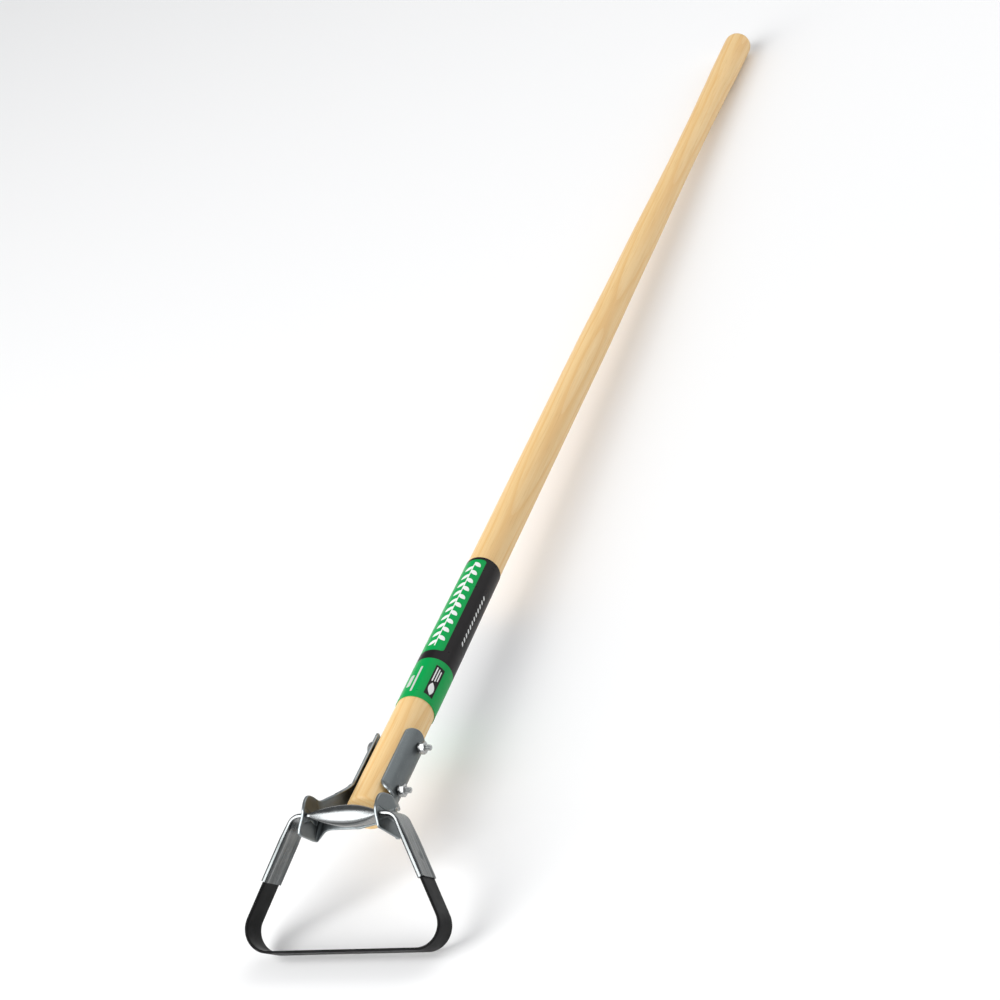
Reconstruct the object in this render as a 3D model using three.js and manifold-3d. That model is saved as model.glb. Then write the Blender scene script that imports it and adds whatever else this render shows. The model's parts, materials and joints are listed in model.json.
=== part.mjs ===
// Stirrup hoe: a blade loop on a swinging hanger, held in a two-part yoke bolted to a long wooden handle.
// It lies on the floor as it is put down: on the back edge of its blade and on its grip. Millimetres, +Z up.
import * as THREE from 'three';
import { mergeVertices } from 'three/addons/utils/BufferGeometryUtils.js';
import Module from 'manifold-3d';

const wasm = await Module();
wasm.setup();

// ---- driving dimensions ----
const GAP = 0.3;                          // air between pieces that touch on the real hoe

const HANDLE_LENGTH = 1372;
const HANDLE_START = 30;                  // pivot axis to the handle's lower end, along the handle
const HANDLE_DROP = 21.5;                 // the handle's centre line passes this far under the pivot axis
const HANDLE_RADII = [                    // distance from the lower end, radius
  [0, 16.3], [150, 15.95], [380, 14.95], [690, 14.8], [885, 13.7],
  [1085, 12.3], [1170, 12.5], [1240, 13.2], [1300, 14.1], [1332, 14.3],
];
const HANDLE_CHAMFER = 2;
const GRIP_ROUNDING = 11;

const LABEL_FROM = 131;                   // label film, measured from the handle's lower end
const LABEL_TO = 331;
const FILM = 0.3;

const STIRRUP_ANGLE = 43.8;               // between the handle and the normal of the stirrup's plane, degrees
const STIRRUP_SIDE_PLAY = 2.3;            // the stirrup sits this far off the yoke's middle
const SWING = 12;                         // each way, degrees

const BLADE_WIDTH = 25.4;
const BLADE_THICK = 2;
const BLADE_SPAN = 160;                   // over the outside of its two lower corners
const BLADE_DEPTH = 103.3;                // pivot axis to the blade's underside
const BLADE_CORNER = 19.2;
const ARM_LEAN = THREE.MathUtils.degToRad(25.1);
const BLADE_TOP = -24;                    // the strip ends this far down inside the sleeves

const SLEEVE_MOUTH = -49;                 // height of the sleeve mouths below the pivot axis
const SLEEVE_WIDTH = 28.4;
const SLEEVE_THICK = 4.9;
const NECK_WIDTH = 26.4;
const NECK_THICK = 3.6;
const BEND_RADIUS = 9.5;
const SPINDLE_HALF = 27.5;                // the round stretch between the ears
const SPINDLE_HEIGHT = 16.4;
const SPINDLE_WIDTH = 21.5;

const SHEET = 2.3;
const EAR_TOE = Math.tan(THREE.MathUtils.degToRad(4));   // the ears spread towards the back
const EAR_FRONT = -17.3;                  // ear outline, in the stirrup's rest directions
const EAR_BACK = 21.5;
const EAR_TOP = 16.2;
const EAR_BOTTOM = -16.6;
const EAR_SPLAY = 3;                      // and by this much towards their bottom edges
const WEB_TOP = 4;
const WEB_BOTTOM = -8.2;
const STRAP_BELOW = 13.6;                 // how far it reaches below the bolts
const STRAP_FROM = 52;                    // the trough starts here and ends there, measured from the pivot axis
const STRAP_TO = 126;
const STRAP_ROUNDING = 11;
const FLARE_FROM = 16;                    // the joggle runs from here to where the trough starts
// What differs between the two brackets. Ear: the yoke's middle to its inner face at the pivot axis.
// Strap: the inside radius of its trough. Above: how far the strap reaches above the bolts. Corner: where
// its straight upper edge stops. Shoulder: control and end points of the curves from there to the ear.
// Rise: how far the web's lower edge climbs towards the ear. Chin: height of the ear's bottom front.
const BRACKETS = {
  left: {
    ear: 28.6, strap: 17.9, above: 11.8, corner: 57.5, rise: 0, chin: -15.6,
    shoulder: [[44, -5.5], [25, -1.8]],
  },
  right: {
    ear: 31.1, strap: 16.7, above: 14.9, corner: 50, rise: 3.4, chin: -12,
    shoulder: [[45.5, -6.6], [45, -10.5], [44, -15], [33, -10], [28, -6], [25, -1.8]],
  },
};

const BOLT_RADIUS = 2.5;
const BOLT_HOLE = 2.9;
const BOLT_PLACES = { lower: 58, upper: 112.5 };     // from the pivot axis
const BOLT_HEAD_RADIUS = 6.8;
const BOLT_HEAD_HEIGHT = 4.5;
const BOLT_END = 29.3;
const LOCK_RADIUS = 4.4;
const LOCK_THICK = 1.3;
const NUT_ACROSS_FLATS = 9.5;
const NUT_HEIGHT = 3.4;

// ---- materials ----
const wood = new THREE.MeshStandardMaterial({ color: 0xecd0a4, roughness: 0.45, metalness: 0 });
const film = new THREE.MeshStandardMaterial({ color: 0x0b9a4c, roughness: 0.3, metalness: 0 });
const zinc = new THREE.MeshStandardMaterial({ color: 0x8b9294, roughness: 0.35, metalness: 1 });
const bright = new THREE.MeshStandardMaterial({ color: 0xc9cccd, roughness: 0.2, metalness: 1 });
const paint = new THREE.MeshStandardMaterial({ color: 0x141414, roughness: 0.4, metalness: 0.2 });

// ---- helpers ----
function solid(geometry) {
  const bare = geometry.clone();
  bare.deleteAttribute('normal');
  bare.deleteAttribute('uv');
  const merged = mergeVertices(bare, 1e-4);
  const mesh = new wasm.Mesh({
    numProp: 3,
    vertProperties: new Float32Array(merged.attributes.position.array),
    triVerts: new Uint32Array(merged.index.array),
  });
  return new wasm.Manifold(mesh);
}

function geometryOf(manifold) {
  const mesh = manifold.getMesh();
  const geometry = new THREE.BufferGeometry();
  geometry.setAttribute('position', new THREE.BufferAttribute(new Float32Array(mesh.vertProperties), 3));
  geometry.setIndex(new THREE.BufferAttribute(new Uint32Array(mesh.triVerts), 1));
  geometry.computeVertexNormals();
  return geometry;
}

// Moves every point of a closed geometry by a rule and leaves its faces as they are.
function mapPoints(geometry, rule) {
  const points = geometry.attributes.position;
  const point = new THREE.Vector3();
  for (let i = 0; i < points.count; i += 1) {
    point.fromBufferAttribute(points, i);
    const moved = rule(point);
    points.setXYZ(i, moved.x, moved.y, moved.z);
  }
  return geometry;
}

function mirroredInX(geometry) {
  const mirrored = geometry.clone().scale(-1, 1, 1);
  const index = mirrored.index.array;
  for (let i = 0; i < index.length; i += 3) {
    [index[i], index[i + 1]] = [index[i + 1], index[i]];
  }
  mirrored.computeVertexNormals();
  return mirrored;
}

function named(name, geometry, material) {
  const mesh = new THREE.Mesh(geometry, material);
  mesh.name = name;
  return mesh;
}

const smooth = THREE.MathUtils.smoothstep;

// ---- handle and label: turned about Y, the handle's centre line ----
function handleRadius(along) {
  const last = HANDLE_RADII.length - 1;
  for (let i = 0; i < last; i += 1) {
    const [from, startRadius] = HANDLE_RADII[i];
    const [to, endRadius] = HANDLE_RADII[i + 1];
    if (along <= to) {
      return THREE.MathUtils.lerp(startRadius, endRadius, smooth(along, from, to));
    }
  }
  return HANDLE_RADII[last][1];
}

function handleProfile() {
  const profile = [new THREE.Vector2(0, 0), new THREE.Vector2(handleRadius(0) - HANDLE_CHAMFER, 0)];
  const stations = 36;
  const end = HANDLE_LENGTH - GRIP_ROUNDING;
  for (let i = 0; i <= stations; i += 1) {
    const along = THREE.MathUtils.lerp(HANDLE_CHAMFER, end, i / stations);
    profile.push(new THREE.Vector2(handleRadius(along), along));
  }
  const steps = 6;
  const flat = handleRadius(end) - GRIP_ROUNDING;
  for (let i = 1; i <= steps; i += 1) {
    const turn = (i / steps) * Math.PI / 2;
    profile.push(new THREE.Vector2(
      flat + GRIP_ROUNDING * Math.cos(turn), end + GRIP_ROUNDING * Math.sin(turn)));
  }
  profile.push(new THREE.Vector2(0, HANDLE_LENGTH));
  return profile;
}

function boltHole(along, radius, from, to) {
  const hole = new THREE.CylinderGeometry(radius, radius, to - from, 24);
  hole.rotateZ(-Math.PI / 2);
  hole.translate((from + to) / 2, along, 0);
  return solid(hole);
}

function handle() {
  let body = solid(new THREE.LatheGeometry(handleProfile(), 32));
  for (const place of Object.values(BOLT_PLACES)) {
    body = body.subtract(boltHole(place - HANDLE_START, BOLT_HOLE, -25, 25));
  }
  return named('handle', geometryOf(body), wood);
}

function labelFilm() {
  const inner = [];
  const outer = [];
  const stations = 8;
  for (let i = 0; i <= stations; i += 1) {
    const along = THREE.MathUtils.lerp(LABEL_FROM, LABEL_TO, i / stations);
    inner.push(new THREE.Vector2(handleRadius(along) + GAP, along));
    outer.unshift(new THREE.Vector2(handleRadius(along) + GAP + FILM, along));
  }
  const ring = [...outer, ...inner, outer[0]].reverse();
  return named('label_film', new THREE.LatheGeometry(ring, 32), film);
}

// ---- yoke: side view in (along the handle, up), sheet bent out of that plane in x ----
const tilt = THREE.MathUtils.degToRad(STIRRUP_ANGLE);

// A point given in the stirrup's rest directions, (front to back, up in its plane), seen from the side.
function atRest(back, up) {
  return new THREE.Vector2(
    back * Math.cos(tilt) + up * Math.sin(tilt), up * Math.cos(tilt) - back * Math.sin(tilt));
}

function bracketOutline({ above, corner, shoulder, chin }) {
  const strapTop = above - HANDLE_DROP;
  const strapBottom = -STRAP_BELOW - HANDLE_DROP;
  const rounding = STRAP_ROUNDING;
  const outline = new THREE.Shape();
  const go = (point) => outline.lineTo(point.x, point.y);
  const curve = (control, point) => outline.quadraticCurveTo(control.x, control.y, point.x, point.y);
  const start = atRest(EAR_FRONT, chin + 3);
  outline.moveTo(start.x, start.y);
  curve(atRest(EAR_FRONT, chin + 0.5), atRest(EAR_FRONT + 3, chin));
  go(atRest(EAR_BACK - 3, EAR_BOTTOM - 0.8));
  curve(atRest(EAR_BACK, EAR_BOTTOM - 0.8), atRest(EAR_BACK, EAR_BOTTOM + 3));
  go(atRest(EAR_BACK, WEB_TOP));
  outline.quadraticCurveTo(24, -11, 33, -20);
  outline.quadraticCurveTo(41, -31, STRAP_FROM, strapBottom);
  outline.lineTo(STRAP_TO - rounding, strapBottom);
  outline.absarc(STRAP_TO - rounding, strapBottom + rounding, rounding, -Math.PI / 2, 0, false);
  outline.absarc(STRAP_TO - rounding, strapTop - rounding, rounding, 0, Math.PI / 2, false);
  outline.lineTo(corner, strapTop);
  for (let i = 0; i < shoulder.length; i += 2) {
    outline.quadraticCurveTo(...shoulder[i], ...shoulder[i + 1]);
  }
  curve(atRest(15, 13), atRest(10.5, 14.8));
  curve(atRest(4, EAR_TOP), atRest(-3.5, EAR_TOP));
  curve(atRest(-14, EAR_TOP), atRest(EAR_FRONT, 4));
  outline.closePath();
  return outline;
}

function earMiddle(side, back, upAtRest) {
  return side.ear + SHEET / 2 + back * EAR_TOE + EAR_SPLAY * smooth(-upAtRest, -3, 14);
}

// Middle of the sheet's thickness at a side-view point: flat at the ear, round the handle at the strap.
function sheetMiddle(side, along, up) {
  const back = along * Math.cos(tilt) - up * Math.sin(tilt);
  const upAtRest = along * Math.sin(tilt) + up * Math.cos(tilt);
  const flat = earMiddle(side, back, upAtRest);
  const radius = side.strap + SHEET / 2;
  const across = THREE.MathUtils.clamp(up + HANDLE_DROP, -0.93 * radius, 0.93 * radius);
  const trough = Math.sqrt(radius * radius - across * across);
  const even = THREE.MathUtils.clamp((along - FLARE_FROM) / (STRAP_FROM - FLARE_FROM), 0, 1);
  return THREE.MathUtils.lerp(flat, trough, (even + smooth(along, FLARE_FROM, STRAP_FROM)) / 2);
}

function bentSheet(side) {
  const from = -30;
  const to = STRAP_TO + 2;
  const low = -STRAP_BELOW - HANDLE_DROP - 1;
  const high = 27;
  const geometry = new THREE.BoxGeometry(1, to - from, high - low, 1, 36, 16);
  geometry.translate(0, (from + to) / 2, (low + high) / 2);
  const step = 0.2;
  return mapPoints(geometry, (point) => {
    const middle = new THREE.Vector3(sheetMiddle(side, point.y, point.z), point.y, point.z);
    const alongEdge = new THREE.Vector3(sheetMiddle(side, point.y + step, point.z) - middle.x, step, 0);
    const upEdge = new THREE.Vector3(sheetMiddle(side, point.y, point.z + step) - middle.x, 0, step);
    const outward = alongEdge.cross(upEdge).normalize();
    return middle.addScaledVector(outward, point.x * SHEET);
  });
}

function extrudedAcross(shape, from, to) {
  const geometry = new THREE.ExtrudeGeometry(shape, { depth: to - from, bevelEnabled: false, curveSegments: 8 });
  geometry.rotateY(Math.PI / 2);
  geometry.rotateX(Math.PI / 2);
  geometry.translate(from, 0, 0);
  return geometry;
}

// The ear's bow-tie slot: the neck's section swept through its swing.
function slotShape() {
  const half = NECK_WIDTH / 2 + 0.8;
  const wall = NECK_THICK / 2 + 0.45;
  const swing = THREE.MathUtils.degToRad(SWING + 1);
  const reach = Math.hypot(half, wall);
  const corner = swing + Math.atan2(wall, half);
  const waist = wall / Math.cos(swing);
  const shape = new THREE.Shape();
  const place = (angle, radius) => atRest(radius * Math.cos(angle), radius * Math.sin(angle));
  const steps = 6;
  const first = place(-corner, reach);
  shape.moveTo(first.x, first.y);
  for (const side of [0, Math.PI]) {
    for (let i = 1; i <= steps; i += 1) {
      const point = place(side + THREE.MathUtils.lerp(-corner, corner, i / steps), reach);
      shape.lineTo(point.x, point.y);
    }
    const middle = place(side + Math.PI / 2, waist);
    shape.lineTo(middle.x, middle.y);
    if (side === 0) {
      const next = place(Math.PI - corner, reach);
      shape.lineTo(next.x, next.y);
    }
  }
  return shape;
}

// The tab bent inwards from the ear's back edge; the two tabs nearly meet behind the spindle.
function webTab(side) {
  const inner = GAP;
  const shoulder = 19.5;
  const bottom = EAR_BOTTOM - 0.4;
  const shape = new THREE.Shape();
  shape.moveTo(inner, WEB_BOTTOM);
  shape.lineTo(shoulder, WEB_BOTTOM + side.rise);
  shape.quadraticCurveTo(shoulder + 4, WEB_BOTTOM + side.rise, shoulder + 6, WEB_BOTTOM - 2.5);
  shape.lineTo(shoulder + 10, bottom);
  const steps = 6;
  for (let i = 0; i <= steps; i += 1) {
    const up = THREE.MathUtils.lerp(bottom, WEB_TOP, i / steps);
    shape.lineTo(earMiddle(side, EAR_BACK, up), up);
  }
  shape.lineTo(inner, WEB_TOP);
  shape.closePath();
  const geometry = new THREE.ExtrudeGeometry(shape, { depth: SHEET, bevelEnabled: false, curveSegments: 6 });
  geometry.rotateX(Math.PI / 2);
  geometry.translate(0, EAR_BACK, 0);
  geometry.rotateX(-tilt);
  return geometry;
}

function bracket(side, holes) {
  let body = solid(bentSheet(side)).intersect(solid(extrudedAcross(bracketOutline(side), 2, 42)));
  body = body.add(solid(webTab(side)));
  body = body.subtract(solid(extrudedAcross(slotShape(), 20, 45)));
  for (const hole of holes) {
    body = body.subtract(hole);
  }
  return geometryOf(body);
}

function roundBracketHoles() {
  return Object.values(BOLT_PLACES).map((place) => (
    boltHole(place, BOLT_HOLE, 5, 30).translate([0, 0, -HANDLE_DROP])));
}

function squareBracketHoles() {
  return Object.values(BOLT_PLACES).map((place) => {
    const hole = new THREE.BoxGeometry(25, 2 * BOLT_HOLE, 2 * BOLT_HOLE);
    hole.translate(17.5, place, -HANDLE_DROP);
    return solid(hole);
  });
}

// ---- bolts, washers and nuts: along X, the bolt's own centre line ----
function turnedAlongX(profile, segments) {
  const geometry = new THREE.LatheGeometry(profile.map(([radius, x]) => new THREE.Vector2(radius, x)), segments);
  return geometry.rotateZ(-Math.PI / 2);
}

function carriageBolt() {
  const seat = -(BRACKETS.left.strap + SHEET + GAP);
  const crown = seat - BOLT_HEAD_HEIGHT;
  const profile = [[0, crown]];
  const steps = 6;
  for (let i = 1; i <= steps; i += 1) {
    const turn = (i / steps) * Math.PI / 2;
    profile.push([BOLT_HEAD_RADIUS * Math.sin(turn), seat - 0.6 - (BOLT_HEAD_HEIGHT - 0.6) * Math.cos(turn)]);
  }
  profile.push([BOLT_HEAD_RADIUS, seat], [BOLT_RADIUS, seat]);
  profile.push([BOLT_RADIUS, BOLT_END - 0.8], [BOLT_RADIUS - 0.8, BOLT_END], [0, BOLT_END]);
  const neckLength = SHEET + GAP;
  const neck = new THREE.BoxGeometry(neckLength, 2 * BOLT_RADIUS + 0.1, 2 * BOLT_RADIUS + 0.1);
  neck.translate(seat + neckLength / 2, 0, 0);
  return geometryOf(solid(turnedAlongX(profile, 24)).add(solid(neck)));
}

// A flat ring cut through once on the slant, so that its ends spring apart.
function lockWasher() {
  const bore = BOLT_RADIUS + GAP;
  const ring = solid(turnedAlongX(
    [[bore, 0], [LOCK_RADIUS, 0], [LOCK_RADIUS, LOCK_THICK], [bore, LOCK_THICK], [bore, 0]], 24));
  const cut = new THREE.BoxGeometry(4 * LOCK_THICK, 0.7, LOCK_RADIUS + 1);
  cut.translate(0, 0, (LOCK_RADIUS + 1) / 2);
  cut.rotateZ(0.6);
  cut.translate(LOCK_THICK / 2, 0, 0);
  return geometryOf(ring.subtract(solid(cut)));
}

function hexNut() {
  const hexagon = new THREE.CylinderGeometry(
    NUT_ACROSS_FLATS / Math.sqrt(3), NUT_ACROSS_FLATS / Math.sqrt(3), NUT_HEIGHT, 6);
  hexagon.rotateZ(-Math.PI / 2);
  hexagon.translate(NUT_HEIGHT / 2, 0, 0);
  const chamfer = turnedAlongX([
    [0, 0], [NUT_ACROSS_FLATS / 2, 0], [NUT_ACROSS_FLATS / 2 + 1.4, 0.9],
    [NUT_ACROSS_FLATS / 2 + 1.4, NUT_HEIGHT - 0.9], [NUT_ACROSS_FLATS / 2, NUT_HEIGHT], [0, NUT_HEIGHT],
  ], 24);
  const bore = boltHole(0, BOLT_RADIUS + GAP, -2, NUT_HEIGHT + 2);
  return geometryOf(solid(hexagon).intersect(solid(chamfer)).subtract(bore));
}

function boltSet(place, along) {
  const set = new THREE.Group();
  set.position.set(0, along, -HANDLE_DROP);
  const spring = named(`${place}_lock_washer`, lockWasher(), bright);
  spring.position.x = BRACKETS.right.strap + SHEET + GAP;
  const nut = named(`${place}_nut`, hexNut(), bright);
  nut.position.x = spring.position.x + LOCK_THICK + GAP;
  set.add(named(`${place}_bolt`, carriageBolt(), bright), spring, nut);
  return set;
}

// ---- stirrup: X along the pivot axis, Z up in its plane, Y through it from front to back ----
const cornerX = BLADE_SPAN / 2 - BLADE_CORNER;
const cornerZ = BLADE_CORNER - BLADE_DEPTH;
// The line of the arms, in the middle of the strip's thickness.
const armFoot = new THREE.Vector2(
  cornerX + (BLADE_CORNER - BLADE_THICK / 2) * Math.cos(ARM_LEAN),
  cornerZ + (BLADE_CORNER - BLADE_THICK / 2) * Math.sin(ARM_LEAN));

function armPoint(height) {
  return new THREE.Vector2(armFoot.x - (height - armFoot.y) * Math.tan(ARM_LEAN), height);
}

// Half of the strip's middle line, from the middle of the bottom to the arm's top.
function bladeHalfLine(top) {
  const radius = BLADE_CORNER - BLADE_THICK / 2;
  const line = [new THREE.Vector2(0, cornerZ - radius)];
  const steps = 12;
  for (let i = 0; i <= steps; i += 1) {
    const turn = THREE.MathUtils.lerp(-Math.PI / 2, ARM_LEAN, i / steps);
    line.push(new THREE.Vector2(cornerX + radius * Math.cos(turn), cornerZ + radius * Math.sin(turn)));
  }
  line.push(armPoint(top));
  return line;
}

// Half of the hanger's middle line, from the middle of the spindle to the sleeve's mouth.
function hangerHalfLine() {
  const line = [];
  const spindleSteps = 8;
  for (let i = 0; i < spindleSteps; i += 1) {
    line.push(new THREE.Vector2(SPINDLE_HALF * i / spindleSteps, 0));
  }
  line.push(new THREE.Vector2(SPINDLE_HALF, 0));
  const fromVertical = Math.PI / 2 - ARM_LEAN;
  const bendStart = armPoint(0).x - BEND_RADIUS * Math.tan(fromVertical / 2);
  const bendSteps = 6;
  for (let i = 0; i <= bendSteps; i += 1) {
    const turn = fromVertical * i / bendSteps;
    line.push(new THREE.Vector2(
      bendStart + BEND_RADIUS * Math.sin(turn), BEND_RADIUS * (Math.cos(turn) - 1)));
  }
  const armSteps = 4;
  const bendEnd = line[line.length - 1].y;
  for (let i = 1; i <= armSteps; i += 1) {
    line.push(armPoint(THREE.MathUtils.lerp(bendEnd, SLEEVE_MOUTH, i / armSteps)));
  }
  return line;
}

function wholeLine(half) {
  return [...half.slice(1).reverse().map((point) => new THREE.Vector2(-point.x, point.y)), ...half];
}

// Sweeps a closed bar, one unit long in Y, along a line in the stirrup's plane. The section rule gives
// how far a point of the bar stands off the line, out of the loop (x) and across it (y).
function swept(bar, line, section) {
  const last = line.length - 1;
  return mapPoints(bar, (point) => {
    const place = Math.round((point.y + 0.5) * last);
    const here = line[place];
    const before = line[Math.max(place - 1, 0)];
    const after = line[Math.min(place + 1, last)];
    const arriving = here.clone().sub(before).normalize();
    const leaving = after.clone().sub(here).normalize();
    const tangent = arriving.add(leaving).normalize();
    const off = section(here, point);
    return new THREE.Vector3(here.x - tangent.y * off.x, off.y, here.y + tangent.x * off.x);
  });
}

function blade() {
  const line = wholeLine(bladeHalfLine(BLADE_TOP));
  const bar = new THREE.BoxGeometry(1, 1, 1, 1, line.length - 1, 1);
  const section = (here, point) => new THREE.Vector2(point.x * BLADE_THICK, point.z * BLADE_WIDTH);
  return named('blade', geometryOf(solid(swept(bar, line, section))), paint);
}

// The hanger's tube: oval at the middle of the spindle, pressed flat at the necks and round the sleeves.
function hangerSection(here, point) {
  const { lerp } = THREE.MathUtils;
  const down = smooth(-here.y, 0, 20);
  const swell = here.y > -0.01 ? Math.max(0, 1 - (here.x / SPINDLE_HALF) ** 2) : 0;
  const thick = lerp(lerp(NECK_THICK, SLEEVE_THICK, down), SPINDLE_HEIGHT, swell);
  const width = lerp(lerp(NECK_WIDTH, SLEEVE_WIDTH, down), SPINDLE_WIDTH, swell);
  const flatness = lerp(0.4, 1, Math.sqrt(swell));
  const reach = Math.hypot(point.x, point.z);
  if (reach === 0) {
    return new THREE.Vector2(0, 0);
  }
  const side = (value, size) => Math.sign(value) * Math.abs(value / reach) ** flatness * reach * size / 2;
  return new THREE.Vector2(side(point.x, thick), side(point.z, width));
}

function sleevePocket() {
  const foot = armPoint(SLEEVE_MOUTH - 6);
  const top = armPoint(BLADE_TOP + 1.2);
  const pocket = new THREE.BoxGeometry(BLADE_THICK + 2 * GAP, BLADE_WIDTH + 2 * GAP, foot.distanceTo(top));
  pocket.rotateY(-ARM_LEAN);
  pocket.translate((foot.x + top.x) / 2, 0, (foot.y + top.y) / 2);
  return pocket;
}

function hanger() {
  const line = wholeLine(hangerHalfLine());
  const bar = new THREE.CylinderGeometry(1, 1, 1, 28, line.length - 1);
  const pocket = solid(sleevePocket());
  const otherPocket = solid(mirroredInX(sleevePocket()));
  const tube = solid(swept(bar, line, hangerSection)).subtract(pocket).subtract(otherPocket);
  return named('hanger', geometryOf(tube), bright);
}

// ---- the whole hoe, first with the handle along Y and the pivot axis along X through the origin ----
const hoe = new THREE.Group();

const shaft = new THREE.Group();
shaft.position.set(0, HANDLE_START, -HANDLE_DROP);
shaft.add(handle(), labelFilm());

const stirrup = new THREE.Group();
stirrup.position.x = STIRRUP_SIDE_PLAY;
stirrup.rotation.x = -tilt;
stirrup.add(hanger(), blade());

const rightBracket = bracket(BRACKETS.right, roundBracketHoles());
const leftBracket = mirroredInX(bracket(BRACKETS.left, squareBracketHoles()));
hoe.add(shaft, stirrup, named('right_bracket', rightBracket, zinc), named('left_bracket', leftBracket, zinc));
for (const [place, along] of Object.entries(BOLT_PLACES)) {
  hoe.add(boltSet(place, along));
}

// Lay it on the floor: turn it until the blade's back edge and the grip are level, then lift and centre it.
const [gripAlong, gripRadius] = HANDLE_RADII[HANDLE_RADII.length - 1];
const grip = new THREE.Vector2(HANDLE_START + gripAlong, -HANDLE_DROP - gripRadius);
const bladeEdge = atRest(BLADE_WIDTH / 2, -BLADE_DEPTH);
hoe.rotation.x = -Math.atan2(grip.y - bladeEdge.y, grip.x - bladeEdge.x);
hoe.updateMatrixWorld(true);
const box = new THREE.Box3().setFromObject(hoe, true);
const middle = box.getCenter(new THREE.Vector3());
hoe.position.set(-middle.x, -middle.y, -box.min.z);

export default hoe;
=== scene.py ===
"""Stirrup hoe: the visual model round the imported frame. Lengths in the shape code are millimetres."""
import json
import math
from collections import Counter

import bmesh
import bpy
from mathutils import Matrix, Vector
from mathutils.geometry import delaunay_2d_cdt
from mathutils.kdtree import KDTree


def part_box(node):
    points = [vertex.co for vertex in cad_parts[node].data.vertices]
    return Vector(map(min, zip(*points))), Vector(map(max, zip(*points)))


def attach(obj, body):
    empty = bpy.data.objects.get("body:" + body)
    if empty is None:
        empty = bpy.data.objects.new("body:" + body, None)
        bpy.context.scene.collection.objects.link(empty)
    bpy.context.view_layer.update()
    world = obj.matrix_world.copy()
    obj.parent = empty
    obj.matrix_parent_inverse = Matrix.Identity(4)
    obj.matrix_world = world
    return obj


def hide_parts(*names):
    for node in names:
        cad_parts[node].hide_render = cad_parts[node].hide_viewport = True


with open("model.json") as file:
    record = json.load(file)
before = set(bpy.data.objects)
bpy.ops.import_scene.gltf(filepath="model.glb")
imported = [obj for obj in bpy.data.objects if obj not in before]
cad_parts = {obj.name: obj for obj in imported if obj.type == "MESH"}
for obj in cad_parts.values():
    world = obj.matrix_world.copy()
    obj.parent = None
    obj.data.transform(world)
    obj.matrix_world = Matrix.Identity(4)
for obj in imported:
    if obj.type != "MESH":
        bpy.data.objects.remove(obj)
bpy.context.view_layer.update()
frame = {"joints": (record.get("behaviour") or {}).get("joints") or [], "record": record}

MM = 0.001

# ---- the three frames that the pieces are built in, from the record and the CAD boxes ----
HINGE = frame["joints"][0]
PIVOT = Vector(HINGE["pos_m"])
STIRRUP_UP = -Vector(frame["record"]["mounts"][0]["axis"])
STIRRUP_BACK = STIRRUP_UP.cross(Vector((1, 0, 0)))
TILT = math.radians(43.8)                 # between the handle and the normal of the stirrup's plane
HANDLE_UP = STIRRUP_UP * math.cos(TILT) - STIRRUP_BACK * math.sin(TILT)
HANDLE_ALONG = STIRRUP_BACK * math.cos(TILT) + STIRRUP_UP * math.sin(TILT)
HANDLE_START = 30                         # pivot axis to the handle's lower end, along the handle
HANDLE_DROP = 21.5                        # the handle's centre line passes this far under the pivot axis


def placed(origin, y_axis, z_axis):
    turn = Matrix((y_axis.cross(z_axis), y_axis, z_axis)).transposed()
    return Matrix.Translation(origin) @ turn.to_4x4()


def yoke_middle():
    left_side, right_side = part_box("handle")
    return Vector(((left_side.x + right_side.x) / 2, PIVOT.y, PIVOT.z))


STIRRUP_FRAME = placed(PIVOT, STIRRUP_BACK, STIRRUP_UP)
YOKE_FRAME = placed(yoke_middle(), HANDLE_ALONG, HANDLE_UP)
HANDLE_FRAME = YOKE_FRAME @ Matrix.Translation(Vector((0, HANDLE_START, -HANDLE_DROP)) * MM)

# ---- driving dimensions ----
HANDLE_LENGTH = 1372
HANDLE_RADII = [                          # distance from the lower end, radius
    (0, 16.3), (150, 15.95), (380, 14.95), (690, 14.8), (885, 13.7),
    (1085, 12.3), (1170, 12.5), (1240, 13.2), (1300, 14.1), (1332, 14.3),
]
HANDLE_CHAMFER = 2
CHAMFER_STEPS = ((1, 0), (0.55, 0.25), (0.18, 0.65))    # (in from the wood's side, up from its end) / chamfer
GRIP_ROUNDING = 11
LABEL_FROM, LABEL_TO = 131, 331
LABEL_LIFT, LABEL_FILM = 0.25, 0.3

BLADE_WIDTH, BLADE_THICK = 25.4, 2
BLADE_SPAN, BLADE_DEPTH = 160, 103.3
BLADE_CORNER = 19.2
BLADE_TOP = -24
ARM_LEAN = math.radians(25.1)

SLEEVE_MOUTH = -49
SLEEVE_WIDTH, SLEEVE_THICK = 28.4, 4.9
SLEEVE_WALL = 1.15
NECK_WIDTH, NECK_THICK = 26.4, 3.6
BEND_RADIUS = 9.5
SPINDLE_HALF, SPINDLE_HEIGHT = 27.5, 16.4

SHEET = 2.3
EAR_TOE = math.radians(4)
EAR_FRONT, EAR_BACK, EAR_TOP, EAR_BOTTOM = -17.3, 21.5, 16.2, -16.6
WEB_TOP, WEB_BOTTOM = 4, -8.2
EAR_SPLAY = 3                             # the ears stand wider towards their bottom edges
FOLD_RADIUS = 3.6                         # middle of the sheet, where the web turns in from the ear
STRAP_BELOW = 13.6
STRAP_FROM, STRAP_TO, STRAP_ROUNDING = 52, 126, 11
FLARE_FROM = 16
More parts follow.
